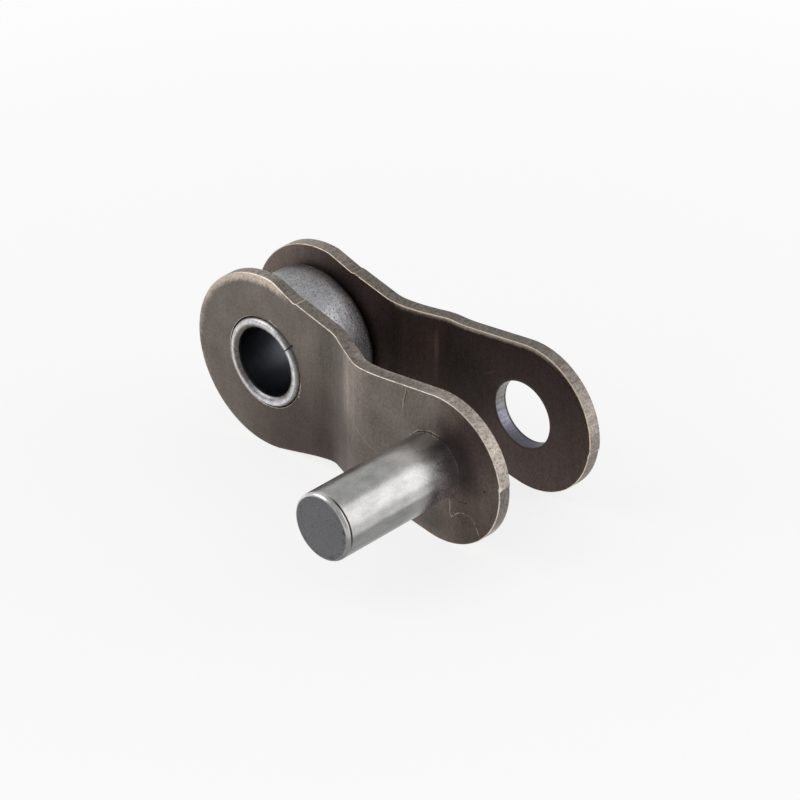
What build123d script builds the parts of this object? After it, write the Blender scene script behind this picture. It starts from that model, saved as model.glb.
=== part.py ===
from build123d import *
import os
from math import acos, atan2, copysign, degrees, hypot, isclose, sqrt, tan

# Offset link of a half-inch pitch roller chain, with its pin pressed part of the way in.
# The origin is the middle of the bush. X runs along the pitch line to the pin, Y along the
# bush and the pin, Z up. The pin stands out on the -Y side. All sizes are millimetres.

# chain
pitch = 12.7
side_clearance = 0.25

# pin, and the room round it in the next link's bush and in the plates
pin_radius = 1.78
pin_length = 8.35
pin_end_round = 0.2
bush_running_clearance = 0.07
pin_grip_clearance = 0.02

# bush, curled from strip, so that it has a seam along its length
bush_wall = 0.6
bush_proud = 0.15
bush_rim_round = 0.22
bush_mouth_chamfer = 0.12
seam_gap = 0.06
seam_angle = 41.0

# roller
roller_radius = 3.85
roller_running_clearance = 0.06
roller_side_clearance = 0.1
roller_end_round = 0.35
roller_mouth_chamfer = 0.1

# side plates: the gap at the bush end, the strip and its two folds
inner_gap = 3.4
plate_thickness = 0.75
fold_after_roller = 1.13
fold_run = 2.55
fold_inside_radius = 1.6

# side plates: the blanked outline
narrow_lobe_radius = 4.82
wide_lobe_radius = 4.0
wide_lobe_lead = 0.45
blank_cut_angle = 84.0
blank_cut_depth = 0.05
blank_step_reach = 2.05
blank_step_length = 0.22
blank_step_rise = 0.02
waist_reach = 7.15
waist_half_height = 3.2
waist_radius = 10.0
strip_margin = 1.0

# side plates: the edge that the punch rolls over on the outer face, and the broken sharp edges
rolled_edge_width = 0.08
edge_break = 0.05

# sizes that follow
bush_bore_radius = pin_radius + bush_running_clearance
bush_radius = bush_bore_radius + bush_wall
pin_hole_radius = pin_radius + pin_grip_clearance
roller_bore_radius = bush_radius + roller_running_clearance
roller_width = inner_gap - 2 * roller_side_clearance
narrow_inside_y = inner_gap / 2
narrow_outside_y = narrow_inside_y + plate_thickness
bush_half_length = narrow_outside_y + bush_proud
wide_inside_y = bush_half_length + side_clearance
wide_outside_y = wide_inside_y + plate_thickness
wide_lobe_x = pitch + wide_lobe_lead
strip_half_width = narrow_lobe_radius + strip_margin
strip_end_x = wide_lobe_x + wide_lobe_radius + strip_margin
strip_start_x = -narrow_lobe_radius - strip_margin
cutter_length = wide_outside_y + strip_margin


def face_points(face_side):
    """Corner points of one broad face of the folded strip, seen from above.

    face_side is 1 for the face away from the roller and -1 for the face towards it.
    """
    rise = wide_outside_y - narrow_outside_y
    fold_turn = atan2(rise, fold_run)
    corner_shift = plate_thickness / 2 * tan(fold_turn / 2)
    first_fold_x = roller_radius + fold_after_roller - face_side * corner_shift
    second_fold_x = first_fold_x + fold_run
    narrow_y = -narrow_outside_y if face_side > 0 else -narrow_inside_y
    wide_y = narrow_y - rise
    return [
        (strip_start_x, narrow_y),
        (first_fold_x, narrow_y),
        (second_fold_x, wide_y),
        (strip_end_x, wide_y),
    ]


def touch_angle(lobe_x, lobe_radius):
    """Angle, seen from a lobe's centre, at which the flank from the waist runs into its arc."""
    run = waist_reach - lobe_x
    spread = degrees(acos(lobe_radius / hypot(run, waist_half_height)))
    return degrees(atan2(waist_half_height, run)) + copysign(spread, run)


# The near plate is a folded strip, cut to the outline of the blank. On its upper edge a straight
# cut leads from the lobe at the bush to a small step, where two strokes of the punch meet. The
# lower edge has none.
step_z = sqrt(narrow_lobe_radius**2 - blank_step_reach**2) - blank_cut_depth
narrow_touch = touch_angle(0, narrow_lobe_radius)
wide_touch = touch_angle(wide_lobe_x, wide_lobe_radius)

with BuildPart() as near_plate:
    with BuildSketch(Plane.XY.offset(-strip_half_width)):
        with BuildLine():
            outer_face = FilletPolyline(
                *face_points(1),
                radius=[fold_inside_radius, fold_inside_radius + plate_thickness],
            )
            inner_face = FilletPolyline(
                *face_points(-1),
                radius=[fold_inside_radius + plate_thickness, fold_inside_radius],
            )
            Line(outer_face @ 0, inner_face @ 0)
            Line(outer_face @ 1, inner_face @ 1)
        make_face()
    extrude(amount=2 * strip_half_width)

    with BuildSketch(Plane.XZ):
        with BuildLine():
            narrow_lobe = CenterArc(
                (0, 0), narrow_lobe_radius, blank_cut_angle, 360 - narrow_touch - blank_cut_angle
            )
            wide_lobe = CenterArc((wide_lobe_x, 0), wide_lobe_radius, -wide_touch, 2 * wide_touch)
            step = Polyline(
                narrow_lobe @ 0,
                (blank_step_reach, step_z),
                (blank_step_reach + blank_step_length, step_z + blank_step_rise),
            )
            FilletPolyline(
                step @ 1,
                (waist_reach, waist_half_height),
                wide_lobe @ 1,
                radius=[waist_radius],
            )
            FilletPolyline(
                narrow_lobe @ 1,
                (waist_reach, -waist_half_height),
                wide_lobe @ 0,
                radius=[waist_radius],
            )
        make_face()
    extrude(amount=cutter_length, both=True, mode=Mode.INTERSECT)

    with BuildSketch(Plane.XZ):
        Circle(bush_radius)
        with Locations((pitch, 0)):
            Circle(pin_hole_radius)
    extrude(amount=cutter_length, both=True, mode=Mode.SUBTRACT)

    arcs = near_plate.edges().filter_by(GeomType.CIRCLE)
    bush_hole_rims = arcs.filter_by(lambda rim: isclose(rim.radius, bush_radius)).sort_by(Axis.Y)
    pin_hole_rims = arcs.filter_by(lambda rim: isclose(rim.radius, pin_hole_radius))
    *_, narrow_outside, narrow_inside = near_plate.faces().filter_by(Axis.Y).sort_by(Axis.Y)
    outer_rims = narrow_outside.outer_wire().edges().filter_by(Axis.Z, reverse=True)
    inner_rims = narrow_inside.outer_wire().edges().filter_by(Axis.Z, reverse=True)
    chamfer(outer_rims, length=rolled_edge_width)
    chamfer([*inner_rims, bush_hole_rims[0], *pin_hole_rims], length=edge_break)

near_plate.part.label = "near_plate"

# The far plate is the near plate's mirror image, so both have the step on their upper edge.
with BuildPart() as far_plate:
    mirror(near_plate.part, about=Plane.XZ)

far_plate.part.label = "far_plate"

# The bush is a strip curled into a tube. Its rims are rounded and its mouths are chamfered.
with BuildPart() as bush:
    with BuildSketch(Plane.XZ):
        Circle(bush_radius)
        Circle(bush_bore_radius, mode=Mode.SUBTRACT)
    extrude(amount=bush_half_length, both=True)
    rims = bush.edges().filter_by(GeomType.CIRCLE)
    fillet(rims.filter_by(lambda rim: isclose(rim.radius, bush_radius)), radius=bush_rim_round)
    chamfer(rims.filter_by(lambda rim: isclose(rim.radius, bush_bore_radius)), length=bush_mouth_chamfer)
    with BuildSketch(Plane.XZ):
        with Locations(Rotation(0, 0, seam_angle)):
            with Locations((bush_radius, 0)):
                Rectangle(4 * bush_wall, seam_gap)
    extrude(amount=cutter_length, both=True, mode=Mode.SUBTRACT)

bush.part.label = "bush"

with BuildPart() as roller:
    with BuildSketch(Plane.XZ):
        Circle(roller_radius)
        Circle(roller_bore_radius, mode=Mode.SUBTRACT)
    extrude(amount=roller_width / 2, both=True)
    rims = roller.edges().filter_by(GeomType.CIRCLE)
    fillet(rims.filter_by(lambda rim: isclose(rim.radius, roller_radius)), radius=roller_end_round)
    chamfer(
        rims.filter_by(lambda rim: isclose(rim.radius, roller_bore_radius)),
        length=roller_mouth_chamfer,
    )

roller.part.label = "roller"

# The pin's inner end is flush with the inside face of the near plate.
with BuildPart() as pin:
    with BuildSketch(Plane.XZ.offset(wide_inside_y)):
        with Locations((pitch, 0)):
            Circle(pin_radius)
    extrude(amount=pin_length)
    fillet(pin.edges().filter_by(GeomType.CIRCLE), radius=pin_end_round)

pin.part.label = "pin"

os.makedirs("parts", exist_ok=True)
export_step(near_plate.part, "parts/near_plate.step")
export_step(far_plate.part, "parts/far_plate.step")
export_step(bush.part, "parts/bush.step")
export_step(roller.part, "parts/roller.step")
export_step(pin.part, "parts/pin.step")
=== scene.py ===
from collections import namedtuple
from math import acos, asin, atan2, copysign, cos, degrees, hypot, pi, radians, sin, sqrt, tan

import bmesh
import bpy
from mathutils import Matrix, Vector


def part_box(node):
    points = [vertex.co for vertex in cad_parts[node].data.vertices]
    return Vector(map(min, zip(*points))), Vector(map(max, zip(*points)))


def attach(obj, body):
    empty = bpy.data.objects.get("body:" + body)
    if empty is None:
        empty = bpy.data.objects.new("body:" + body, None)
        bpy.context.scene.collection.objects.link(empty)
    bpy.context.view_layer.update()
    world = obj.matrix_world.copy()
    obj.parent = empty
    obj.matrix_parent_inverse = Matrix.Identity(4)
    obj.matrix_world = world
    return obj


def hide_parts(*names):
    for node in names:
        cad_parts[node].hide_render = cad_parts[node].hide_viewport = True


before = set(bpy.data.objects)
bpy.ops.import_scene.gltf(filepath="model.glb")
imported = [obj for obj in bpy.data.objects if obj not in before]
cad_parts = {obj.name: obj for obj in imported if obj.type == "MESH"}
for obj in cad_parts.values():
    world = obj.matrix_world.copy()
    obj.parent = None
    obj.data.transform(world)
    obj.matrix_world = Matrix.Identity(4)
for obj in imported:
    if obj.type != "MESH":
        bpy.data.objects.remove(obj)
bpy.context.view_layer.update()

# An offset link of a roller chain. Meshes are made in millimetres and scaled to metres when they
# are finished. X runs along the pitch line, Y along the bush and the pin, Z up.
MM = 0.001

# sizes read from the frame
NEAR_LOW, NEAR_HIGH = (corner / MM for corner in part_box("near_plate"))
_, BUSH_HIGH = (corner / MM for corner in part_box("bush"))
_, ROLLER_HIGH = (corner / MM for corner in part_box("roller"))
PIN_LOW, PIN_HIGH = (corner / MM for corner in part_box("pin"))

PITCH = (PIN_LOW.x + PIN_HIGH.x) / 2
PIN_RADIUS = (PIN_HIGH.z - PIN_LOW.z) / 2
BUSH_RADIUS = BUSH_HIGH.z
ROLLER_RADIUS = ROLLER_HIGH.z
NARROW_RADIUS = NEAR_HIGH.z
NARROW_INSIDE = -NEAR_HIGH.y
WIDE_OUTSIDE = -NEAR_LOW.y

# the plates' section and folds
THICKNESS = 0.75
FOLD_AFTER_ROLLER = 1.13
FOLD_RUN = 2.55
FOLD_INSIDE_RADIUS = 1.6
NARROW_OUTSIDE = NARROW_INSIDE + THICKNESS
WIDE_INSIDE = WIDE_OUTSIDE - THICKNESS
FOLD_RISE = WIDE_OUTSIDE - NARROW_OUTSIDE
FOLD_TURN = atan2(FOLD_RISE, FOLD_RUN)

# the plates' outline: a straight cut from the lobe to a small step, the waists, and the nick in
# the wide lobe, where its lower arc begins
CUT_ANGLE = 84.0
STEP_REACH = 2.05
STEP_LENGTH = 0.22
STEP_RISE = 0.02
WAIST_Z = 3.2
LOWER_WAIST_X = 6.85
LOWER_WAIST_RADIUS = 18.6
WIDE_RADIUS = 4.0
WIDE_LEAD = 0.45
WIDE_X = PITCH + WIDE_LEAD
LOWER_WIDE_X = WIDE_X - 0.08
LOWER_WIDE_RADIUS = 4.03
NICK_LENGTH = 2.0

# what differs between the two blanks: the ridge of the step, the upper waist, the angle of the
# nick, how much each face is rolled over at its edge, and how bright the edges are worn
Blank = namedtuple(
    "Blank",
    "ridge_z waist_x waist_radius nick_angle outer_roll inner_roll outer_wear inner_wear bush_wear",
)
NEAR_BLANK = Blank(
    ridge_z=4.27,
    waist_x=6.8,
    waist_radius=13.0,
    nick_angle=7.0,
    outer_roll=1.0,
    inner_roll=0.0,
    outer_wear=1.0,
    inner_wear=0.15,
    bush_wear=0.6,
)
FAR_BLANK = Blank(
    ridge_z=4.33,
    waist_x=7.2,
    waist_radius=10.0,
    nick_angle=-5.5,
    outer_roll=0.2,
    inner_roll=1.0,
    outer_wear=0.3,
    inner_wear=1.0,
    bush_wear=0.15,
)

# broken edges and holes, and the rings of faces along the outline
EDGE_BREAK = 0.04
HOLE_BREAK = 0.04
RIDGE_BREAK = 0.03
PIN_HOLE_RADIUS = PIN_RADIUS + 0.01
PIN_HOLE_WEAR = 0.1
COLLAR_WIDTH = 0.2
RING_WIDTHS = (0.1, 0.08, 0.08, 0.08, 0.08, 0.1)

# the outer face's edge, rolled over by the punch: its depth and its rub by the angle round the
# narrow lobe
OUTER_ROLL_WIDTH = 0.55
OUTER_ROLL_DEPTHS = (
    (0, 0.01),
    (66, 0.02),
    (88, 0.17),
    (106, 0.16),
    (145, 0.04),
    (185, 0.01),
    (360, 0.01),
)
OUTER_RUB_SHARES = (
    (0, 0.1),
    (64, 0.1),
    (72, 0.6),
    (84, 1.1),
    (110, 1.1),
    (135, 0.85),
    (160, 0.5),
    (190, 0.3),
    (300, 0.1),
)

# the inner face's upper edge, rounded over: its depth and its rub by x
INNER_ROLL_WIDTH = 0.28
INNER_ROLL_DEPTHS = ((-5, 0), (4.4, 0), (5.3, 0.1), (7.6, 0.09), (13.5, 0.09), (17.2, 0))
INNER_RUB_SHARES = (
    (-5, 0),
    (4.4, 0),
    (5.2, 0.5),
    (6.8, 0.5),
    (8, 1),
    (13.4, 1),
    (15, 0.5),
    (17.2, 0),
)

# bush, roller and pin
BUSH_WALL = 0.6
BUSH_RIM_ROUND = 0.27
BUSH_MOUTH_ROUND = 0.3
SEAM_ANGLE = 41.0
SEAM_GAP = 0.03
SEAM_SPREAD = 0.04
SEAM_EDGE_ROUND = 0.02
SEAM_END_REACH = 1.5
SEAM_OUTSIDE_REACH = 1.2
BUSH_HOLE_CLEARANCE = 0.035
ROLLER_BORE_RADIUS = BUSH_RADIUS + 0.06
ROLLER_END_ROUND = 0.35
ROLLER_MOUTH_ROUND = 0.1
PIN_END_ROUND = 0.2

# how finely round forms are cut, and how near points count as one place or as a hole's rim
TURN_STEPS = 128
MERGE_DISTANCE = 0.001
SAME_PLACE = 0.005
RIM_REACH = 0.1

# camera, fitted to the photo's edges: turn about Z, height, the point aimed at, distance and lens
VIEW_TURN = 43.893
VIEW_HEIGHT = 31.648
VIEW_AIM = Vector((4.707, 2.469, -2.408))
VIEW_DISTANCE = 196.689
VIEW_LENS = 174.49

# light in metres, where 1 is the brightness of white paper in full light, and the floor, which is
# paler beyond the link's shadow
LAMP_DISTANCE = 0.45
ROOM_BRIGHTNESS = 0.58
FLOOR_RADIUS = 0.6
FLOOR_GREY = 0.9
NEAR_WHITE = 0.8
SHADOW_REACH = 0.02
WHITE_REACH = 0.09
RAYS_SEEN = ("Is Camera Ray", "Is Glossy Ray", "Is Transmission Ray")


# Meshes


def finish_piece(bm, name, body, node):
    """Makes a piece of a mesh in millimetres, and puts it in a CAD node's place."""
    bmesh.ops.recalc_face_normals(bm, faces=bm.faces[:])
    bmesh.ops.scale(bm, vec=(MM, MM, MM), verts=bm.verts[:])
    for face in bm.faces:
        face.smooth = True
    mesh = bpy.data.meshes.new(name)
    bm.to_mesh(mesh)
    bm.free()
    piece = bpy.data.objects.new(name, mesh)
    bpy.context.scene.collection.objects.link(piece)
    normals = piece.modifiers.new("flat faces stay flat", "WEIGHTED_NORMAL")
    normals.keep_sharp = True
    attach(piece, body)
    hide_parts(node)
    return piece


def sharp_edges(bm, least_degrees=60):
    """The edges where two faces meet at a steep angle."""
    return [edge for edge in bm.edges if edge.calc_face_angle(0) > radians(least_degrees)]


def round_edges(bm, edges, radius, segments):
    """Bevels edges, and gives the new faces."""
    made = bmesh.ops.bevel(
        bm,
        geom=edges,
        offset=radius,
        offset_type="OFFSET",
        segments=segments,
        profile=0.5,
        affect="EDGES",
        material=-1,
        clamp_overlap=False,
        loop_slide=True,
    )
    return made["faces"]


def bend_drop(x, corner, radius):
    """How far a sheet that bends away at a corner has dropped at x."""
    start = corner - radius * tan(FOLD_TURN / 2)
    arc_run = radius * sin(FOLD_TURN)
    run = min(max(x - start, 0.0), arc_run)
    beyond = max(x - start - arc_run, 0.0)
    return radius - sqrt(radius**2 - run**2) + beyond * tan(FOLD_TURN)


def face_y(x, outer):
    """The near plate's y at x, on its outer or inner face."""
    side = 1 if outer else -1
    first_x = ROLLER_RADIUS + FOLD_AFTER_ROLLER - side * THICKNESS / 2 * tan(FOLD_TURN / 2)
    second_x = first_x + FOLD_RUN
    first_radius = FOLD_INSIDE_RADIUS + (0.0 if outer else THICKNESS)
    second_radius = FOLD_INSIDE_RADIUS + (THICKNESS if outer else 0.0)
    narrow_y = -NARROW_OUTSIDE if outer else -NARROW_INSIDE
    wide_y = -WIDE_OUTSIDE if outer else -WIDE_INSIDE
    if x < (first_x + second_x) / 2:
        return narrow_y - bend_drop(x, first_x, first_radius)
    return wide_y + bend_drop(-x, -second_x, second_radius)


def fold_cuts():
    """The x of each cut across the blank, close together where the sheet bends."""
    first_x = ROLLER_RADIUS + FOLD_AFTER_ROLLER
    reach = 0.6
    steps = 18
    offsets = [reach * (2 * i / steps - 1) for i in range(steps + 1)]
    return [fold_x + offset for fold_x in (first_x, first_x + FOLD_RUN) for offset in offsets]


def draw_to(bm, vertex, point):
    """Draws a line from a vertex to a point."""
    added = bmesh.ops.extrude_vert_indiv(bm, verts=[vertex])["verts"][0]
    added.co = point
    return added


def round_corners(bm, corners, offset, segments):
    """Rounds corners of a wire or of a flat face."""
    bmesh.ops.bevel(
        bm,
        geom=corners,
        offset=offset,
        offset_type="OFFSET",
        segments=segments,
        profile=0.5,
        affect="VERTICES",
        material=-1,
        clamp_overlap=False,
    )


def draw_arc(bm, vertex, centre_x, angle, steps):
    """Draws an arc from a vertex, clockwise as seen in the photo."""
    made = bmesh.ops.spin(
        bm,
        geom=[vertex],
        cent=(centre_x, 0, 0),
        axis=(0, 1, 0),
        dvec=(0, 0, 0),
        angle=angle,
        steps=steps,
        use_merge=False,
        use_duplicate=False,
    )
    return next(item for item in made["geom_last"] if isinstance(item, bmesh.types.BMVert))


def lobe_point(centre_x, radius, angle):
    """The point of a lobe at an angle in degrees, counted from the pitch line up."""
    return Vector((centre_x + radius * cos(radians(angle)), 0, radius * sin(radians(angle))))


def touch_angle(lobe_x, lobe_radius, waist_x):
    """The angle at which the flank from a waist runs into a lobe."""
    run = waist_x - lobe_x
    spread = acos(lobe_radius / hypot(run, WAIST_Z))
    return degrees(atan2(WAIST_Z, run) + copysign(spread, run))


def round_waist(bm, corner, radius):
    """Rounds a corner of a wire to a radius."""
    first, second = (edge.other_vert(corner).co - corner.co for edge in corner.link_edges)
    round_corners(bm, [corner], radius / tan(first.angle(second) / 2), segments=14)


def blank_outline(bm, blank):
    """The outline of a blank as a closed wire, and its sharp corners: step, nick and ridge."""
    narrow_touch = touch_angle(0, NARROW_RADIUS, LOWER_WAIST_X)
    upper_touch = touch_angle(WIDE_X, WIDE_RADIUS, blank.waist_x)
    lower_touch = touch_angle(LOWER_WIDE_X, LOWER_WIDE_RADIUS, LOWER_WAIST_X)
    nick_end = blank.nick_angle - NICK_LENGTH
    start = bm.verts.new(lobe_point(0, NARROW_RADIUS, -narrow_touch))
    cut = draw_arc(bm, start, 0, radians(360 - narrow_touch - CUT_ANGLE), steps=56)
    step = draw_to(bm, cut, (STEP_REACH, 0, blank.ridge_z - STEP_RISE))
    ridge = draw_to(bm, step, (STEP_REACH + STEP_LENGTH, 0, blank.ridge_z))
    upper_waist = draw_to(bm, ridge, (blank.waist_x, 0, WAIST_Z))
    wide_start = draw_to(bm, upper_waist, lobe_point(WIDE_X, WIDE_RADIUS, upper_touch))
    nick = draw_arc(bm, wide_start, WIDE_X, radians(upper_touch - blank.nick_angle), steps=26)
    nick_foot = draw_to(bm, nick, lobe_point(LOWER_WIDE_X, LOWER_WIDE_RADIUS, nick_end))
    wide_end = draw_arc(bm, nick_foot, LOWER_WIDE_X, radians(nick_end + lower_touch), steps=26)
    lower_waist = draw_to(bm, wide_end, (LOWER_WAIST_X, 0, -WAIST_Z))
    draw_to(bm, lower_waist, lobe_point(0, NARROW_RADIUS, -narrow_touch))
    corners = [vertex.co.copy() for vertex in (step, nick, nick_foot, ridge)]
    round_waist(bm, upper_waist, blank.waist_radius)
    round_waist(bm, lower_waist, LOWER_WAIST_RADIUS)
    bmesh.ops.remove_doubles(bm, verts=bm.verts[:], dist=MERGE_DISTANCE)
    return corners


def face_at(bm, point):
    """The flat face that holds a point."""
    bm.normal_update()
    return next(face for face in bm.faces if bmesh.geometry.intersect_face_point(face, point))


def inset(bm, faces, width):
    """Lays a ring of faces along the inside of a flat region's border."""
    bmesh.ops.inset_region(
        bm,
        faces=faces,
        thickness=width,
        use_boundary=True,
        use_even_offset=True,
    )


def open_hole(bm, centre_x, radius, steps):
    """Opens a round hole, with a collar round it, in the face that holds its centre."""
    centre = Vector((centre_x, 0, 0))
    face = face_at(bm, centre)
    left = min(face.verts, key=lambda vertex: vertex.co.x)
    right = max(face.verts, key=lambda vertex: vertex.co.x)
    rim = [lobe_point(centre_x, radius + COLLAR_WIDTH, 180 + 360 * i / steps) for i in range(steps)]
    half = steps // 2
    bmesh.utils.face_split(face, left, right, coords=rim[: half + 1])
    face = face_at(bm, centre)
    rim_start = min(face.verts, key=lambda vertex: (vertex.co - rim[0]).length)
    rim_end = min(face.verts, key=lambda vertex: (vertex.co - rim[half]).length)
    bmesh.utils.face_split(face, rim_end, rim_start, coords=rim[half + 1 :])
    disc = face_at(bm, centre)
    inset(bm, [disc], COLLAR_WIDTH)
    bmesh.ops.delete(bm, geom=[face_at(bm, centre)], context="FACES_ONLY")


def near_hole(point, centre_x, radius):
    """Whether a point is at the rim of a hole."""
    return abs(hypot(point.x - centre_x, point.z) - radius) < RIM_REACH


def stands_at(edge, point):
    """Whether an edge runs through the plate's thickness at a point of its outline."""
    offsets = [vertex.co - point for vertex in edge.verts]
    return all(hypot(offset.x, offset.z) < SAME_PLACE for offset in offsets)


def is_outer(point):
    """Whether a point is nearer to the outer face than to the inner one."""
    return point.y < (face_y(point.x, True) + face_y(point.x, False)) / 2


def plate_mesh(blank):
    """A near plate: an outline filled, cut across for the folds, holed, thickened and folded."""
    bm = bmesh.new()
    *sharp_corners, ridge = blank_outline(bm, blank)
    outline = [(edge.verts[0].co.copy(), edge.verts[1].co.copy()) for edge in bm.edges]
    flat = bmesh.ops.contextual_create(bm, geom=bm.edges[:])["faces"]
    for ring_width in RING_WIDTHS:
        inset(bm, flat, ring_width)
    for x in fold_cuts():
        bmesh.ops.bisect_plane(
            bm,
            geom=bm.verts[:] + bm.edges[:] + bm.faces[:],
            dist=0.02,
            plane_co=(x, 0, 0),
            plane_no=(1, 0, 0),
        )
    open_hole(bm, 0, BUSH_RADIUS + BUSH_HOLE_CLEARANCE, steps=96)
    open_hole(bm, PITCH, PIN_HOLE_RADIUS, steps=72)

    outer_vertices = bm.verts[:]
    bmesh.ops.extrude_face_region(bm, geom=bm.faces[:])
    outer_set = set(outer_vertices)
    for vertex in bm.verts:
        vertex.co.y = face_y(vertex.co.x, vertex in outer_set)

    worn = bm.faces.layers.float.new("worn_edge")
    ridge_edges = [edge for edge in bm.edges if stands_at(edge, ridge)]
    for face in round_edges(bm, ridge_edges, RIDGE_BREAK, segments=2):
        face[worn] = blank.outer_wear
    rims = []
    border = []
    for edge in sharp_edges(bm):
        middle = (edge.verts[0].co + edge.verts[1].co) / 2
        at_hole = near_hole(middle, 0, BUSH_RADIUS) or near_hole(middle, PITCH, PIN_RADIUS)
        (rims if at_hole else border).append(edge)
    for face in round_edges(bm, border, EDGE_BREAK, segments=3):
        at_outer_face = is_outer(face.calc_center_median())
        face[worn] = blank.outer_wear if at_outer_face else blank.inner_wear
    rims = [edge for edge in rims if edge.is_valid]
    for face in round_edges(bm, rims, HOLE_BREAK, segments=2):
        at_bush = near_hole(face.calc_center_median(), 0, BUSH_RADIUS)
        face[worn] = blank.bush_wear if at_bush else PIN_HOLE_WEAR
    for edge in bm.edges:
        if any(stands_at(edge, corner) for corner in sharp_corners):
            edge.smooth = False
    roll_outer_edge(bm, outline, blank.outer_roll)
    roll_inner_edge(bm, outline, blank.inner_roll)
    return bm


def distance_to_outline(x, z, outline):
    """The shortest way in the blank's plane from a point to its outline."""
    point = Vector((x, 0, z))
    shortest = NARROW_RADIUS
    for start, end in outline:
        along = end - start
        share = min(max((point - start).dot(along) / along.length_squared, 0), 1)
        shortest = min(shortest, (point - start - along * share).length)
    return shortest


def value_between(pairs, place):
    """A value at a place on a line that is given by pairs of places and values."""
    for (low, first), (high, second) in zip(pairs, pairs[1:]):
        if place <= high:
            return first + (second - first) * (place - low) / (high - low)
    return pairs[-1][1]


def roll_outer_edge(bm, outline, share):
    """Rounds the outer face down towards the outline, most of all on the narrow lobe."""
    rub = bm.verts.layers.float.new("rolled_edge")
    for vertex in bm.verts:
        away = distance_to_outline(vertex.co.x, vertex.co.z, outline)
        if away > OUTER_ROLL_WIDTH or not is_outer(vertex.co):
            continue
        closeness = 1 - away / OUTER_ROLL_WIDTH
        angle = degrees(atan2(vertex.co.z, vertex.co.x)) % 360
        vertex.co.y += share * value_between(OUTER_ROLL_DEPTHS, angle) * closeness**2
        vertex[rub] = value_between(OUTER_RUB_SHARES, angle) * closeness


def roll_inner_edge(bm, outline, share):
    """Rounds the inner face down towards the upper outline, along the plate's wide half."""
    rub = bm.verts.layers.float["rolled_edge"]
    for vertex in bm.verts:
        if vertex.co.z < 0 or is_outer(vertex.co):
            continue
        away = distance_to_outline(vertex.co.x, vertex.co.z, outline)
        closeness = share * max(1 - away / INNER_ROLL_WIDTH, 0)
        vertex.co.y -= value_between(INNER_ROLL_DEPTHS, vertex.co.x) * closeness**1.5
        vertex[rub] = value_between(INNER_RUB_SHARES, vertex.co.x) * closeness


def ring_section(bm, inner_radius, outer_radius, half_width, outer_round, inner_round):
    """A ring's section as a face beside the Y axis, with its corners rounded."""
    bmesh.ops.create_grid(bm, x_segments=1, y_segments=1, size=0.5)
    bmesh.ops.scale(bm, vec=(outer_radius - inner_radius, 2 * half_width, 1), verts=bm.verts[:])
    middle = (inner_radius + outer_radius) / 2
    bmesh.ops.translate(bm, vec=(middle, 0, 0), verts=bm.verts[:])
    outer_corners = [vertex for vertex in bm.verts if vertex.co.x > middle]
    inner_corners = [vertex for vertex in bm.verts if vertex.co.x < middle]
    round_corners(bm, outer_corners, outer_round, segments=8)
    round_corners(bm, inner_corners, inner_round, segments=6)


def turn_round(bm, angle, closed):
    """Spins all that is there round the Y axis."""
    bmesh.ops.spin(
        bm,
        geom=bm.verts[:] + bm.edges[:] + bm.faces[:],
        cent=(0, 0, 0),
        axis=(0, 1, 0),
        dvec=(0, 0, 0),
        angle=angle,
        steps=TURN_STEPS,
        use_merge=closed,
        use_duplicate=False,
    )


def bush_mesh():
    """The bush: a section turned almost all the way round, which leaves the seam open."""
    bm = bmesh.new()
    bore_radius = BUSH_RADIUS - BUSH_WALL
    ring_section(bm, bore_radius, BUSH_RADIUS, BUSH_HIGH.y, BUSH_RIM_ROUND, BUSH_MOUTH_ROUND)
    gap_angle = SEAM_GAP / BUSH_RADIUS
    start = Matrix.Rotation(-radians(SEAM_ANGLE) + gap_angle / 2, 3, "Y")
    bmesh.ops.rotate(bm, cent=(0, 0, 0), matrix=start, verts=bm.verts[:])
    turn_round(bm, 2 * pi - gap_angle, closed=False)
    round_edges(bm, sharp_edges(bm, least_degrees=80), SEAM_EDGE_ROUND, segments=2)
    open_seam_ends(bm)
    return bm


def open_seam_ends(bm):
    """Spreads the bush's seam at its ends, where the strip's outer corners are broken."""
    turn = radians(SEAM_ANGLE)
    across = Vector((-sin(turn), 0, cos(turn)))
    outward = Vector((cos(turn), 0, sin(turn)))
    for vertex in bm.verts:
        offset = vertex.co.dot(across)
        radius = vertex.co.dot(outward)
        if abs(offset) > SEAM_SPREAD or radius < 0:
            continue
        from_end = (BUSH_HIGH.y - abs(vertex.co.y)) / BUSH_RIM_ROUND
        from_outside = (BUSH_RADIUS - radius) / BUSH_RIM_ROUND
        near_end = min(max(SEAM_END_REACH - from_end, 0), 1)
        near_outside = min(max(SEAM_OUTSIDE_REACH - from_outside, 0), 1)
        share = max(near_end + near_outside - 1, 0)
        vertex.co += across * copysign(SEAM_SPREAD * share, offset)


def roller_mesh():
    """The roller: a rounded section turned all the way round."""
    bm = bmesh.new()
    ring_section(
        bm, ROLLER_BORE_RADIUS, ROLLER_RADIUS, ROLLER_HIGH.y, ROLLER_END_ROUND, ROLLER_MOUTH_ROUND
    )
    bmesh.ops.delete(bm, geom=bm.faces[:], context="FACES_ONLY")
    turn_round(bm, 2 * pi, closed=True)
    return bm


def pin_mesh():
    """The pin: a section turned all the way round, closed on the axis and moved to its place."""
    bm = bmesh.new()
    free_centre = bm.verts.new((0, PIN_LOW.y, 0))
    free_corner = draw_to(bm, free_centre, (PIN_RADIUS, PIN_LOW.y, 0))
    held_corner = draw_to(bm, free_corner, (PIN_RADIUS, PIN_HIGH.y, 0))
    draw_to(bm, held_corner, (0, PIN_HIGH.y, 0))
    round_corners(bm, [free_corner, held_corner], PIN_END_ROUND, segments=8)
    turn_round(bm, 2 * pi, closed=True)
    bmesh.ops.remove_doubles(bm, verts=bm.verts[:], dist=MERGE_DISTANCE)
    bmesh.ops.translate(bm, vec=(PITCH, 0, 0), verts=bm.verts[:])
    return bm


# Finishes


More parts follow.
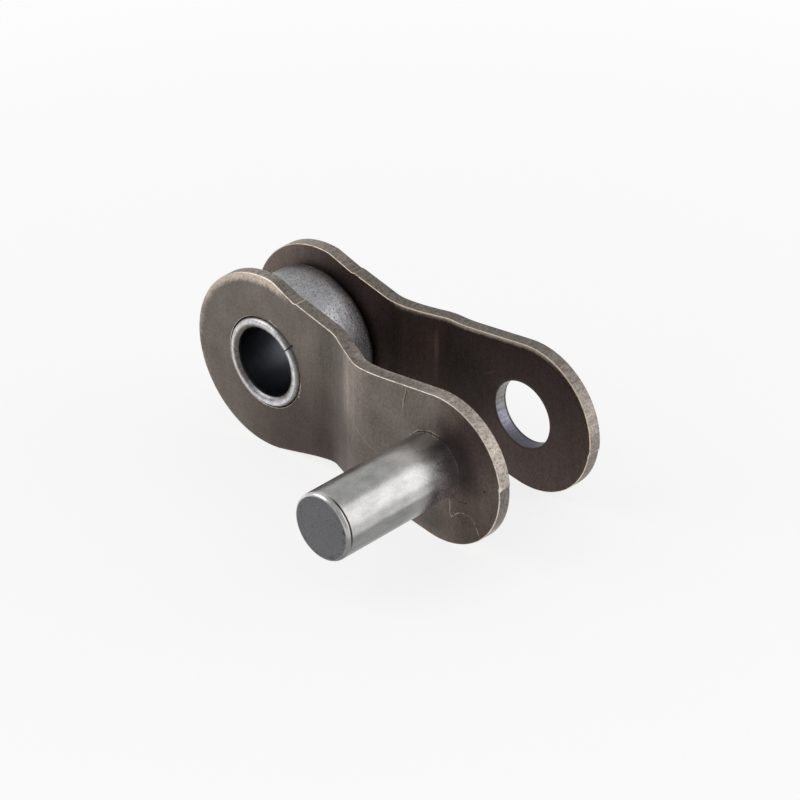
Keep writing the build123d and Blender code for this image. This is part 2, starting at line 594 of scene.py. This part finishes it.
class Value:
    """A socket of a node tree. Python's operators on it add Math nodes."""

    def __init__(self, nodes, socket):
        self.nodes = nodes
        self.socket = socket

    def math(self, operation, *values):
        return self.nodes.node("ShaderNodeMath", {"operation": operation}, dict(enumerate(values)))

    def __add__(self, other):
        return self.math("ADD", self, other)

    def __radd__(self, other):
        return self.math("ADD", other, self)

    def __sub__(self, other):
        return self.math("SUBTRACT", self, other)

    def __rsub__(self, other):
        return self.math("SUBTRACT", other, self)

    def __mul__(self, other):
        return self.math("MULTIPLY", self, other)

    def __rmul__(self, other):
        return self.math("MULTIPLY", other, self)

    def clamped(self):
        """The number, but not below 0 or above 1."""
        settings = {"operation": "ADD", "use_clamp": True}
        return self.nodes.node("ShaderNodeMath", settings, {0: self, 1: 0.0})

    def __abs__(self):
        return self.math("ABSOLUTE", self)


class Nodes:
    """A node tree, and short ways to fill it."""

    def __init__(self, tree):
        self.tree = tree

    def node(self, kind, settings, values, output=0):
        """Adds a node, its settings first and then its sockets, and gives one of its outputs."""
        made = self.tree.nodes.new(kind)
        for name, value in settings.items():
            setattr(made, name, value)
        for name, value in values.items():
            if isinstance(value, Value):
                self.tree.links.new(value.socket, made.inputs[name])
            else:
                made.inputs[name].default_value = value
        return Value(self, made.outputs[output])

    def parts(self, vector):
        """The x, y and z of a vector."""
        first = self.node("ShaderNodeSeparateXYZ", {}, {0: vector})
        return [Value(self, socket) for socket in first.socket.node.outputs]

    def join(self, x, y, z):
        """A vector of three numbers."""
        return self.node("ShaderNodeCombineXYZ", {}, {0: x, 1: y, 2: z})

    def vector_math(self, operation, *values, output=0):
        """A Vector Math node."""
        settings = {"operation": operation}
        return self.node("ShaderNodeVectorMath", settings, dict(enumerate(values)), output)

    def scaled(self, vector, amount):
        """A vector or a colour times a number."""
        values = {0: vector, "Scale": amount}
        return self.node("ShaderNodeVectorMath", {"operation": "SCALE"}, values)

    def smooth(self, value, low, high):
        """0 below low and 1 above high, with a soft step between, or the other way round."""
        if low > high:
            return 1 - self.smooth(value, high, low)
        values = {"Value": value, "From Min": low, "From Max": high}
        return self.node("ShaderNodeMapRange", {"interpolation_type": "SMOOTHSTEP"}, values)

    def between(self, value, low, low_full, high_full, high):
        """1 from low_full to high_full, and softly down to 0 at low and at high."""
        return self.smooth(value, low, low_full) * self.smooth(value, high, high_full)

    def near(self, value, centre, reach, core):
        """1 within a core round a centre, and softly down to 0 at its reach."""
        return self.smooth(abs(value - centre), reach, core)

    def noise(self, vector, scale, detail, roughness):
        """Soft noise from 0 to 1, mostly near a half."""
        values = {"Vector": vector, "Scale": scale, "Detail": detail, "Roughness": roughness}
        return self.node("ShaderNodeTexNoise", {}, values)

    def mix(self, first, second, share):
        """A colour between two, from the first at 0 to the second at 1."""
        values = {0: share}
        for socket, colour in ((6, first), (7, second)):
            values[socket] = colour if isinstance(colour, Value) else (*colour, 1)
        return self.node("ShaderNodeMix", {"data_type": "RGBA"}, values, 2)

    def mixed_number(self, first, second, share):
        """A number between two, from the first at 0 to the second at 1."""
        return self.node("ShaderNodeMix", {"data_type": "FLOAT"}, {0: share, 2: first, 3: second})

    def attribute(self, name):
        """A number stored in the mesh."""
        return self.node("ShaderNodeAttribute", {"attribute_name": name}, {}, "Fac")


class Finish(Nodes):
    """A steel finish: its material, with the place on the piece in millimetres and its facing."""

    def __init__(self, name):
        self.material = bpy.data.materials.new(name)
        self.material.use_nodes = True
        super().__init__(self.material.node_tree)
        self.shader = self.tree.nodes["Principled BSDF"]
        self.shader.inputs["Metallic"].default_value = 1.0
        object_place = self.node("ShaderNodeTexCoord", {}, {}, "Object")
        self.place = self.scaled(object_place, 1 / MM)
        self.x, self.y, self.z = self.parts(self.place)
        facing = self.node("ShaderNodeTexCoord", {}, {}, "Normal")
        _, self.facing_y, self.facing_z = self.parts(facing)

    def put(self, socket, value):
        """Links a value to one of the shader's sockets."""
        self.tree.links.new(value.socket, self.shader.inputs[socket])

    def bump(self, height, distance, strength, under=None):
        """Gives the surface relief. The distance is in millimetres."""
        values = {"Height": height, "Distance": distance * MM, "Strength": strength}
        if under:
            values["Normal"] = under
        return self.node("ShaderNodeBump", {}, values, "Normal")

    def stretched(self, factors, seed=0.0):
        """The place on the piece, with each of its parts scaled."""
        moved = self.vector_math("ADD", self.place, (seed, seed, seed))
        return self.vector_math("MULTIPLY", moved, factors)

    def distance_from(self, x, z):
        """The distance from an axis along Y."""
        return self.vector_math("LENGTH", self.join(self.x - x, 0.0, self.z - z), output="Value")

    def spot(self, x, z, inner, outer):
        """1 within a radius of a place on the plate, and softly down to 0 at a larger one."""
        return self.smooth(self.distance_from(x, z), outer, inner)

    def stroke(self, points, width, wander):
        """1 on a thin line through points on the plate, which wanders a little, and 0 beside it."""
        drift = self.noise(self.place, 2.6, 2.0, 0.5)
        drift_down = self.noise(self.stretched((1.0, 1.0, 1.0), 5.0), 2.6, 2.0, 0.5)
        x = self.x + 2 * wander * drift - wander
        z = self.z + 2 * wander * drift_down - wander
        here = self.join(x, 0.0, z)
        away = None
        for start, end in zip(points, points[1:]):
            run = Vector((end[0] - start[0], 0, end[1] - start[1]))
            beside = self.vector_math("SUBTRACT", here, (start[0], 0, start[1]))
            along = self.vector_math("DOT_PRODUCT", beside, tuple(run), output="Value")
            share = (along * (1 / run.length_squared)).clamped()
            nearest = self.scaled(tuple(run), share)
            gap = self.vector_math("DISTANCE", beside, nearest, output="Value")
            away = gap if away is None else away.math("MINIMUM", away, gap)
        return self.smooth(away, width, width / 3)

    def drawn(self, marks):
        """The strength of several marks, one over the other."""
        total = 0.0
        for mark in marks:
            total = total + mark.strength * self.stroke(mark.points, mark.width, mark.wander)
        return total


# Plates

FURNACE_BROWN = (0.182, 0.155, 0.136)
RED_TINGE = (1.0, 0.84, 0.85)
SHEARED_TINT = (1.0, 0.88, 0.79)
NEAR_WORN = (0.78, 0.7, 0.6)
NEAR_RUBBED = (0.66, 0.57, 0.48)
NEAR_SCRATCHED = (0.5, 0.44, 0.37)
# dark for dents, and for painted shade in the notch at the bush's seam
DENT_AND_NOTCH_DARK = (0.02, 0.018, 0.018)
FAR_WORN = (0.85, 0.69, 0.5)
FAR_WORN_ROUND = (0.38, 0.33, 0.28)
FAR_RUBBED = (0.42, 0.36, 0.31)
FAR_SCRATCHED = (0.3, 0.26, 0.22)
HOLE_GREY = (0.34, 0.33, 0.33)
HOLE_BLUISH = (0.34, 0.34, 0.42)
HOLE_LOW = (0.14, 0.13, 0.16)
HOLE_BACK = (0.04, 0.035, 0.03)

# marks on the plates, as lines through points given by x and z
Mark = namedtuple("Mark", "strength width wander points")
SQUIGGLE = (
    (13.86, -1.3),
    (13.9, -2.0),
    (13.93, -2.42),
    (14.33, -2.03),
    (14.79, -1.81),
    (15.25, -1.84),
    (15.52, -2.07),
    (15.78, -2.6),
)
NEAR_SCRATCHES = (
    Mark(0.5, 0.04, 0.05, ((10.91, 3.6), (10.78, 2.9), (10.68, 2.2))),
    Mark(0.6, 0.035, 0.1, SQUIGGLE),
    Mark(0.2, 0.05, 0.1, ((7.0, 0.35), (7.66, -0.21), (8.2, -0.6), (9.0, -0.95))),
    Mark(0.8, 0.05, 0.03, ((11.2, 1.1), (11.75, 1.6), (12.5, 1.87), (13.1, 1.84))),
)
# light lines on small burr round the bush: painted highlights
NEAR_BURR_HIGHLIGHTS = (
    Mark(1.0, 0.05, 0.08, ((0.35, 2.58), (0.66, 2.47), (0.95, 2.42))),
    Mark(1.0, 0.05, 0.1, ((2.55, -0.15), (2.5, -0.62), (2.42, -1.05))),
)
# dark marks: two dents, and painted shade in the notch at the bush's seam
NEAR_DENTS_AND_NOTCH_SHADE = (
    Mark(0.6, 0.045, 0.18, ((14.0, -1.2), (14.45, -1.3), (15.04, -1.18))),
    Mark(0.5, 0.04, 0.03, ((10.99, 3.5), (10.84, 2.8))),
    Mark(1.0, 0.09, 0.02, ((1.83, 1.64), (1.99, 1.78))),
)
FAR_SCRATCHES = (Mark(0.2, 0.05, 0.05, ((10.2, 1.3), (10.67, 1.62), (10.9, 1.7))),)


class PlateFinish(Finish):
    """Dark satin steel, brown from the furnace, with a sheared edge and bright worn corners."""

    def __init__(self, name, seed, shear_stretch):
        super().__init__(name)
        self.on_face = self.smooth(abs(self.facing_y), 0.35, 0.75)
        self.blotches = self.noise(self.stretched((1.0, 1.0, 1.0), seed), 0.5, 4.0, 0.6)
        self.patches = self.noise(self.stretched((1.0, 1.0, 1.0), seed), 3.5, 5.0, 0.7)
        self.streaks = self.noise(self.stretched((5.0, 2.0, 0.6), seed), 1.0, 4.0, 0.65)
        self.grain = self.noise(self.stretched((1.0, 1.0, 0.8), seed), 9.0, 4.0, 0.8)
        self.shear = self.noise(self.stretched(shear_stretch, seed), 1.6, 5.0, 0.75)
        self.pits = self.noise(self.stretched((1.0, 0.7, 1.0), seed), 9.0, 3.0, 0.7)
        shade = 0.6 * self.blotches + 0.4 * self.streaks + 1.5 * self.grain - 0.25
        self.face = self.scaled(FURNACE_BROWN, shade)

    def reddened(self, colour, share):
        """A colour with a red tinge."""
        return self.vector_math("MULTIPLY", colour, self.mix((1.0, 1.0, 1.0), RED_TINGE, share))

    def band(self, brightness):
        """The sheared edge's colour: mottled, with dark pits."""
        shade = brightness * (1.8 * self.shear + 1.2 * self.grain - 0.5)
        return self.scaled(SHEARED_TINT, shade * (1 - 0.45 * self.smooth(self.pits, 0.46, 0.38)))

    def finish(self, face, band, worn_colour, rubbed_colour, painted_glint=0.0):
        """Joins the face, the sheared edge and the wear, and gives the material."""
        steel = self.mix(band, face, self.on_face)
        rub = self.attribute("rolled_edge") + 0.6 * self.patches + 0.3 * self.grain
        rub = self.smooth(rub, 0.55, 1.15) * self.smooth(abs(self.facing_y), 0.3, 0.6)
        rubbed_colour = self.scaled(rubbed_colour, 1.6 * self.grain + 0.2)
        rubbed_steel = self.mix(steel, rubbed_colour, rub * 0.9)
        # the worn edge's colour also carries a painted highlight where one is given
        worn = self.attribute("worn_edge") * self.smooth(self.patches, 0.2, 0.55) + painted_glint
        self.put("Base Color", self.mix(rubbed_steel, worn_colour, worn.clamped() * 0.9))
        self.put("Roughness", 0.52 - 0.14 * worn - 0.1 * self.blotches + 0.1 * self.grain)
        height = self.on_face * self.streaks + (1 - self.on_face) * self.shear
        coarse = self.bump(height, 0.03, 0.3)
        self.put("Normal", self.bump(self.grain + self.pits, 0.02, 0.3, coarse))
        return self.material


def near_face(finish):
    """The near plate's face, with painted highlights along the fold, and painted shade before and
    after it, beside and below the pin and towards both ends, which are also redder.
    """
    # painted highlight along the fold's slope, and a painted highlight line at the bend, which is
    # also where the dies rubbed it
    fold = finish.between(finish.x, 5.8, 6.4, 6.5, 9.0) * finish.smooth(finish.z, -1.8, 1.6)
    painted_fold_line = 0.3 + 0.7 * finish.smooth(finish.z, -3.5, 0.5)
    painted_fold_line = finish.near(finish.x, 6.6, 0.22, 0.02) * painted_fold_line
    # painted shade before the fold, after it, at the narrow end's lower side and towards the wide
    # end, and the pin's painted shadow beside and below it
    painted_shade_before_fold = finish.near(finish.x, 4.4, 1.5, 0.1)
    painted_shade_after_fold = finish.spot(8.8, -0.3, 0.8, 3.2)
    painted_narrow_end_shade = finish.spot(2.6, -3.4, 0.5, 6.5) * 0.52
    wide_end = finish.smooth(finish.x, 12.5, 15.0)
    wide_end = wide_end * (0.92 + 0.08 * finish.smooth(finish.z, -2.0, 2.0))
    wide_end = wide_end * (1 - 0.3 * finish.spot(16.2, 0.0, 0.5, 2.0))
    painted_pin_shadow = finish.spot(PITCH, 0.0, 2.4, 3.6) * finish.smooth(finish.x, 12.3, 13.6)
    painted_pin_shadow = painted_pin_shadow * finish.smooth(finish.z, -1.3, 0.2)
    painted_shadow_below_pin = finish.spot(PITCH, -2.9, 0.4, 1.4)
    # the level joins these painted highlights and painted shade
    level = (1 + 0.75 * fold + 0.25 * painted_fold_line) * (1 - 0.25 * painted_shade_before_fold)
    level = level * (1 - 0.14 * painted_shade_after_fold) * (1 - painted_narrow_end_shade) * (1 - 0.5 * wide_end)
    level = level * (1 - 0.55 * painted_pin_shadow) * (1 - 0.4 * painted_shadow_below_pin)
    streaked = 0.75 + 0.5 * finish.mixed_number(0.5, finish.streaks, fold)
    return finish.reddened(finish.scaled(finish.face, level * streaked), painted_narrow_end_shade + wide_end)


def mark_near_face(finish, face):
    """Adds the scratches and dents of the near plate's outer face, painted burr highlights round
    the bush, and painted shade in the notch at the bush's seam.
    """
    looks_out = finish.smooth(finish.facing_y, 0.0, -0.5)
    # painted burr highlights
    burr_highlights = finish.drawn(NEAR_BURR_HIGHLIGHTS) * finish.smooth(finish.patches, 0.4, 0.55)
    light = finish.drawn(NEAR_SCRATCHES) + burr_highlights
    light = light * finish.smooth(finish.patches, 0.35, 0.55) * looks_out
    # dark marks: dents and a spot, and painted shade in the seam's notch
    dark = finish.drawn(NEAR_DENTS_AND_NOTCH_SHADE) + 0.7 * finish.spot(16.14, 0.02, 0.05, 0.12)
    return finish.mix(finish.mix(face, NEAR_SCRATCHED, light), DENT_AND_NOTCH_DARK, dark * looks_out)


def near_band(finish):
    """The near plate's sheared edge, with painted light and shade by place: paler round the wide
    lobe, the lower lobe, the top and the inner side, and painted shade below the nick.
    """
    # the band's brightness by place is painted light and shade
    upper_lobe = finish.smooth(finish.x, 10.8, 13.6)
    lower_lobe = finish.smooth(finish.z, -1.5, -2.4)
    top = finish.between(finish.x, -2.7, -1.7, 0.0, 0.75)
    painted_shade_below_nick = finish.smooth(finish.x, 15.0, 16.0) * finish.smooth(finish.z, 0.55, 0.35)
    inner_side = finish.smooth(finish.y, -3.2, -2.95) * finish.smooth(finish.z, 1.0, 2.0)
    inner_side = inner_side * finish.between(finish.x, 6.0, 7.5, 11.5, 13.0)
    brightness = (0.27 + 0.21 * upper_lobe + 0.17 * top) * (1 - 0.55 * painted_shade_below_nick)
    return finish.band(brightness * (1 + 0.8 * lower_lobe) * (1 + 0.45 * inner_side))


def near_plate_finish():
    """The near plate's steel, with a painted highlight on its nick."""
    finish = PlateFinish("near_plate_steel", 0.0, (2.6, 1.6, 2.6))
    face = mark_near_face(finish, near_face(finish))
    # painted highlight on the nick
    painted_glint = finish.spot(17.12, 0.5, 0.04, 0.17) * finish.smooth(finish.y, -3.35, -3.5)
    return finish.finish(face, near_band(finish), NEAR_WORN, NEAR_RUBBED, painted_glint)


def far_face(finish):
    """The far plate's face: on its inner side redder and with painted shade, where it faces the
    near plate, and a painted highlight line at the fold.
    """
    looks_in = finish.smooth(finish.facing_y, 0.3, -0.3)
    # painted highlight line at the fold, on the inner side
    painted_fold_line = 0.35 * finish.between(finish.x, 6.2, 7.0, 7.1, 7.2)
    painted_fold_line = painted_fold_line + 0.8 * finish.near(finish.x, 7.1, 0.14, 0.04)
    painted_fold_line = painted_fold_line * finish.between(finish.z, -1.0, 1.6, 1.8, 2.9) * looks_in
    # painted shade on the inner side, most of all beyond x 2, and a spot of it near x 8.7
    shaded = 0.52 * finish.smooth(finish.x, -2.5, 2.0) + 0.17 * finish.spot(8.7, 0.3, 0.8, 3.0)
    face = finish.scaled(finish.face, (1 - shaded * looks_in) * (1 + painted_fold_line))
    face = finish.reddened(face, looks_in * (0.5 + 0.5 * finish.smooth(finish.x, 0.0, 3.0)))
    return finish.mix(face, FAR_SCRATCHED, finish.drawn(FAR_SCRATCHES) * looks_in)


def far_band(finish):
    """The far plate's sheared edge, with painted light and shade by place, and the wall of its pin
    hole.
    """
    # the band's brightness by place is painted light and shade, with a painted highlight line at
    # the nick and painted shade below it
    upper_lobe = finish.smooth(finish.x, 12.0, 15.0)
    top = finish.smooth(finish.x, 2.0, 1.0) + finish.smooth(finish.x, 0.6, -1.0)
    end = finish.smooth(finish.x, 16.4, 16.9) * finish.smooth(finish.z, 0.2, 0.9)
    lobe_side = finish.smooth(finish.x, 15.0, 16.0)
    painted_shade_below_nick = lobe_side * finish.smooth(finish.z, -0.35, -0.45)
    painted_nick_highlight = lobe_side * finish.near(finish.z, -0.4, 0.07, 0.02)
    brightness = 0.25 + 0.07 * upper_lobe + 0.1 * top + 0.1 * end
    brightness = brightness * (1 - 0.2 * painted_shade_below_nick + 0.5 * painted_nick_highlight)
    wall = finish.mix(HOLE_GREY, HOLE_BLUISH, finish.smooth(finish.z, -0.2, -0.7))
    wall = finish.scaled(wall, 2.0 * finish.shear + 1.2 * finish.grain - 0.7)
    wall = finish.mix(wall, HOLE_LOW, finish.smooth(finish.z, -0.9, -1.6) * 0.8)
    wall = finish.mix(wall, HOLE_BACK, finish.smooth(finish.y, 3.42, 3.52) * 0.8)
    return finish.mix(finish.band(brightness), wall, finish.spot(PITCH, 0.0, 1.88, 1.95))


def far_plate_finish():
    """The far plate's steel, its worn edge duller where it is rounded over."""
    finish = PlateFinish("far_plate_steel", 37.0, (5.5, 0.8, 5.5))
    rounded = finish.between(finish.x, 7.2, 8.2, 13.4, 14.8) * finish.smooth(finish.z, 1.5, 2.5)
    worn = finish.mix(FAR_WORN, FAR_WORN_ROUND, rounded)
    return finish.finish(far_face(finish), far_band(finish), worn, FAR_RUBBED)


# Bush, roller and pin

# dark for the painted shade in the gap round the bush's rim, and for the roller's pits
GAP_SHADE_AND_PIT_DARK = (0.09, 0.085, 0.085)
TUMBLED_STEEL = (0.66, 0.65, 0.66)
MOUTH_BROWN = (0.22, 0.195, 0.175)
MOUTH_GREY = (0.4, 0.4, 0.42)
# painted shade in the bush's bore, paler towards its top
BORE_SHADE_LOW = (0.075, 0.078, 0.09)
BORE_SHADE_HIGH = (0.11, 0.113, 0.125)
# painted shade in the bush's seam
SEAM_SHADE_BLACK = (0.02, 0.02, 0.02)
ROLLER_STEEL = (0.48, 0.475, 0.49)
PIN_STEEL = (0.5, 0.495, 0.49)
PIN_ROOT = (0.76, 0.77, 0.8)
PIN_END = (0.15, 0.15, 0.158)
PIN_END_BORDER = (0.05, 0.048, 0.05)
PIN_LINE = (0.03, 0.02, 0.015)

SEAM_LINE = ((1.35, 1.174), (1.88, 1.634))


def bush_finish():
    """Bright tumbled steel, mottled on the rim; dimmer and browner in the mouth, greyer at its
    bottom and dimmer on its left; with painted shade in the bore, in the gap round the rim and in
    the seam.
    """
    finish = Finish("bright_tumbled_steel")
    radius = finish.distance_from(0.0, 0.0)
    mottle = finish.noise(finish.place, 4.5, 4.0, 0.65)
    speckle = finish.noise(finish.place, 20.0, 2.0, 0.6)
    shade = 1.8 * mottle + 1.2 * speckle - 0.5
    in_mouth = finish.smooth(radius, 2.22, 2.02)
    in_bore = finish.smooth(radius, 1.9, 1.86)
    on_right = finish.smooth(finish.x, 0.6, 1.6)
    mouth_left = finish.smooth(finish.x, 0.0, -1.0)
    mouth_colour = finish.mix(MOUTH_BROWN, MOUTH_GREY, finish.smooth(finish.z, -1.2, -1.9))
    mouth_colour = finish.scaled(mouth_colour, shade * (1 - 0.4 * mouth_left))
    # painted shade in the bore, paler towards its top
    painted_bore_shade = finish.mix(BORE_SHADE_LOW, BORE_SHADE_HIGH, finish.smooth(finish.z, 0.0, 1.2))
    # painted shade in the gap between the rim and the plate, wider on the right
    painted_gap_shade = 0.75 * finish.smooth(radius + 0.1 * mottle, 2.3, 2.36) * on_right
    painted_gap_shade = (finish.smooth(radius, 2.34, 2.42) + painted_gap_shade).clamped()
    colour = finish.mix(finish.scaled(TUMBLED_STEEL, shade), mouth_colour, in_mouth)
    colour = finish.mix(colour, GAP_SHADE_AND_PIT_DARK, painted_gap_shade * 0.85)
    colour = finish.mix(colour, painted_bore_shade, in_bore)
    # painted shade in the seam's slit
    seam = finish.stroke(SEAM_LINE, 0.045, 0.0)
    finish.put("Base Color", finish.mix(colour, SEAM_SHADE_BLACK, seam))
    finish.put("Roughness", 0.24 + 0.2 * mottle)
    relief = (mottle + 0.4 * speckle) * (1 - 0.85 * in_bore)
    finish.put("Normal", finish.bump(relief, 0.06, 0.4))
    return finish.material


def roller_finish():
    """Light grey blasted steel with many fine dark pits, painted shade by the far plate and a
    painted highlight on its side.
    """
    finish = Finish("speckled_roller_steel")
    cloud = finish.noise(finish.place, 0.9, 3.0, 0.6)
    speckle = finish.noise(finish.place, 7.5, 3.0, 0.7)
    fine = finish.noise(finish.place, 22.0, 2.0, 0.6)
    spread = {"Vector": finish.place, "Scale": 8.0}
    cells = finish.node("ShaderNodeTexVoronoi", {}, spread, "Distance")
    pitted = finish.smooth(cloud + 0.3 * speckle, 0.45, 0.75)
    pits = finish.smooth(cells + 0.35 * speckle, 0.52, 0.36) * (0.1 + 0.9 * pitted)
    # painted shade by the far plate, and a painted highlight on the side
    painted_shade_by_far_plate = 0.4 * finish.smooth(finish.y, 0.7, 1.2) * finish.smooth(finish.z, 2.8, 3.5)
    painted_side_highlight = 0.4 * finish.smooth(finish.y, 0.2, 0.8) * finish.smooth(finish.z, 3.7, 3.0)
    shade = (0.6 * cloud + 1.3 * speckle + 0.9 * fine - 0.4) * (1 - painted_shade_by_far_plate + painted_side_highlight)
    colour = finish.scaled(ROLLER_STEEL, shade)
    finish.put("Base Color", finish.mix(colour, GAP_SHADE_AND_PIT_DARK, pits * 0.85))
    finish.put("Roughness", 0.27 + 0.12 * fine)
    finish.put("Normal", finish.bump(speckle + 0.5 * fine - 0.6 * pits, 0.05, 0.4))
    return finish.material


def pin_finish():
    """Ground steel with soft cloudy marks, mottled and dark where it enters the plate, with painted
    shade on its lower side and painted highlights before the root and on its free end's round.
    """
    finish = Finish("ground_pin_steel")
    radius = finish.distance_from(PITCH, 0.0)
    cloud = finish.noise(finish.place, 0.75, 4.0, 0.6)
    marks = finish.noise(finish.stretched((1.0, 0.45, 1.0)), 2.2, 5.0, 0.7)
    fine = finish.noise(finish.place, 14.0, 3.0, 0.7)

    # painted shade on the lower side and lower edge, and painted highlights before the root and on
    # the top of the free end's round
    painted_low_side_shade = finish.smooth(finish.facing_z, 0.17, 0.02)
    painted_low_edge_shade = finish.smooth(finish.facing_z, -0.2, -0.42) * finish.smooth(finish.y, -6.6, -7.6)
    painted_highlight_before_root = finish.near(finish.y, -5.9, 1.3, 0.4)
    painted_rim_highlight = finish.smooth(finish.y, -10.75, -11.0) * finish.smooth(finish.x, 13.4, 12.5)
    painted_rim_highlight = painted_rim_highlight * finish.smooth(finish.z, 0.5, 1.1)
    shade = (0.5 * cloud + 0.9 * marks + 0.4 * fine + 0.1) * (1 - 0.48 * painted_low_side_shade)
    shade = shade * (1 - 0.32 * painted_low_edge_shade) * (1 + 0.28 * painted_highlight_before_root + 0.6 * painted_rim_highlight)
    colour = finish.scaled(PIN_STEEL, shade)

    at_root = finish.smooth(finish.y + 0.9 * cloud + 0.4 * marks, -4.7, -3.9)
    at_root = at_root * finish.smooth(finish.facing_z, 0.9, 0.7)
    root_shade = 1.6 * fine + 0.6 * marks - 0.15
    # paler towards the right at the root: painted highlight
    root_shade = root_shade * (1 + 0.3 * finish.smooth(finish.x, 13.3, 14.2))
    colour = finish.mix(colour, finish.scaled(PIN_ROOT, root_shade), at_root * 0.8)

    on_end = finish.smooth(radius, 1.68, 1.6) * finish.smooth(finish.y, -11.0, -11.1)
    on_end = on_end + finish.smooth(finish.y, -2.9, -2.86)
    end_shade = (0.6 + 0.8 * fine) * (1 - 0.5 * finish.smooth(fine, 0.42, 0.34))
    end_border = finish.smooth(radius, 1.3, 1.55) * finish.smooth(marks, 0.48, 0.4)
    end_colour = finish.mix(finish.scaled(PIN_END, end_shade), PIN_END_BORDER, end_border * 0.7)
    colour = finish.mix(colour, end_colour, on_end)

    line = finish.near(finish.y - 0.06 * cloud, -10.95, 0.075, 0.03)
    line = line * finish.smooth(finish.x, 12.7, 13.6) * finish.smooth(finish.z, -0.9, 0.1)
    finish.put("Base Color", finish.mix(colour, PIN_LINE, line))
    finish.put("Roughness", 0.17 + 0.1 * cloud + 0.1 * marks + 0.2 * on_end)
    finish.put("Normal", finish.bump(marks + 0.4 * fine, 0.02, 0.25))
    return finish.material


# Pieces


def build_pieces():
    """The five pieces, each in its CAD node's place."""
    near_mesh = plate_mesh(NEAR_BLANK)
    near = finish_piece(near_mesh, "near_side_plate", "link", "near_plate")
    near.data.materials.append(near_plate_finish())

    mirrored = plate_mesh(FAR_BLANK)
    bmesh.ops.scale(mirrored, vec=(1, -1, 1), verts=mirrored.verts[:])
    far = finish_piece(mirrored, "far_side_plate", "link", "far_plate")
    far.data.materials.append(far_plate_finish())

    bush = finish_piece(bush_mesh(), "curled_bush", "link", "bush")
    bush.data.materials.append(bush_finish())
    roller = finish_piece(roller_mesh(), "turned_roller", "roller", "roller")
    roller.data.materials.append(roller_finish())
    pin = finish_piece(pin_mesh(), "ground_pin", "pin", "pin")
    pin.data.materials.append(pin_finish())


# Scene


def add_camera():
    """The camera at the photo's angle."""
    data = bpy.data.cameras.new("camera")
    data.lens = VIEW_LENS
    camera = bpy.data.objects.new("camera", data)
    turn = radians(VIEW_TURN)
    height = radians(VIEW_HEIGHT)
    back = Vector((sin(turn) * cos(height), -cos(turn) * cos(height), sin(height)))
    camera.location = (VIEW_AIM + back * VIEW_DISTANCE) * MM
    camera.rotation_euler = (pi / 2 - height, 0, turn)
    bpy.context.scene.collection.objects.link(camera)
    bpy.context.scene.camera = camera


def add_softbox(name, direction, width, height, brightness):
    """A lamp that faces the link. A brightness of 1 is white paper in full light."""
    data = bpy.data.lights.new(name, "AREA")
    data.shape = "RECTANGLE"
    data.size = width
    data.size_y = height
    data.energy = brightness * pi * width * height
    lamp = bpy.data.objects.new(name, data)
    lamp.location = Vector(direction).normalized() * LAMP_DISTANCE
    lamp.rotation_euler = Vector(direction).to_track_quat("Z", "Y").to_euler()
    lamp.visible_camera = False
    bpy.context.scene.collection.objects.link(lamp)


def seen_or_mirrored(nodes):
    """1 for what the camera sees, itself or in metal or glass, and 0 for other light."""
    rays = [nodes.node("ShaderNodeLightPath", {}, {}, name) for name in RAYS_SEEN]
    return rays[0].math("MAXIMUM", rays[0], rays[1].math("MAXIMUM", rays[1], rays[2]))


def add_floor():
    """A pale floor that touches both lobes of the link from below, as it lies on a table."""
    tilt = asin((NARROW_RADIUS - WIDE_RADIUS) / WIDE_X)
    bm = bmesh.new()
    bmesh.ops.create_circle(bm, cap_ends=True, segments=64, radius=FLOOR_RADIUS)
    lift = Matrix.Rotation(-tilt, 4, "Y") @ Matrix.Translation((0, 0, -NARROW_RADIUS * MM))
    bmesh.ops.transform(bm, matrix=lift, verts=bm.verts[:])
    mesh = bpy.data.meshes.new("floor")
    bm.to_mesh(mesh)
    bm.free()
    floor = bpy.data.objects.new("floor", mesh)
    bpy.context.scene.collection.objects.link(floor)

    material = bpy.data.materials.new("pale_floor")
    material.use_nodes = True
    nodes = Nodes(material.node_tree)
    surface = nodes.tree.nodes["Principled BSDF"]
    surface.inputs["Base Color"].default_value = (FLOOR_GREY, FLOOR_GREY, FLOOR_GREY, 1)
    surface.inputs["Roughness"].default_value = 0.9
    surface.inputs["Specular IOR Level"].default_value = 0.0
    place = nodes.node("ShaderNodeTexCoord", {}, {}, "Object")
    distance = nodes.vector_math("LENGTH", place, output="Value")
    beyond_shadow = nodes.smooth(distance, SHADOW_REACH, WHITE_REACH)
    share = seen_or_mirrored(nodes) * (NEAR_WHITE + (1 - NEAR_WHITE) * beyond_shadow)
    white = nodes.node("ShaderNodeEmission", {}, {"Color": (1, 1, 1, 1), "Strength": 1.0})
    plain = Value(nodes, surface.outputs[0])
    mixed = nodes.node("ShaderNodeMixShader", {}, {0: share, 1: plain, 2: white})
    nodes.tree.links.new(mixed.socket, nodes.tree.nodes["Material Output"].inputs["Surface"])
    mesh.materials.append(material)


def add_room():
    """Pale light from all round."""
    world = bpy.data.worlds.new("pale_room")
    world.use_nodes = True
    bpy.context.scene.world = world
    nodes = Nodes(world.node_tree)
    background = nodes.tree.nodes["Background"]
    background.inputs["Color"].default_value = (1, 1, 1, 1)
    background.inputs["Strength"].default_value = ROOM_BRIGHTNESS


def plain(corners):
    """Corners as plain lists of numbers."""
    return [[float(number) for number in corner] for corner in corners]


build_pieces()
add_camera()
add_floor()
add_room()
add_softbox("softbox behind", (0.68, 0.6, 0.29), width=0.42, height=0.53, brightness=1.04)
add_softbox("softbox in front", (-0.59, -0.5, 0.62), width=0.3, height=0.3, brightness=1.8)
bpy.context.scene.view_settings.view_transform = "Standard"
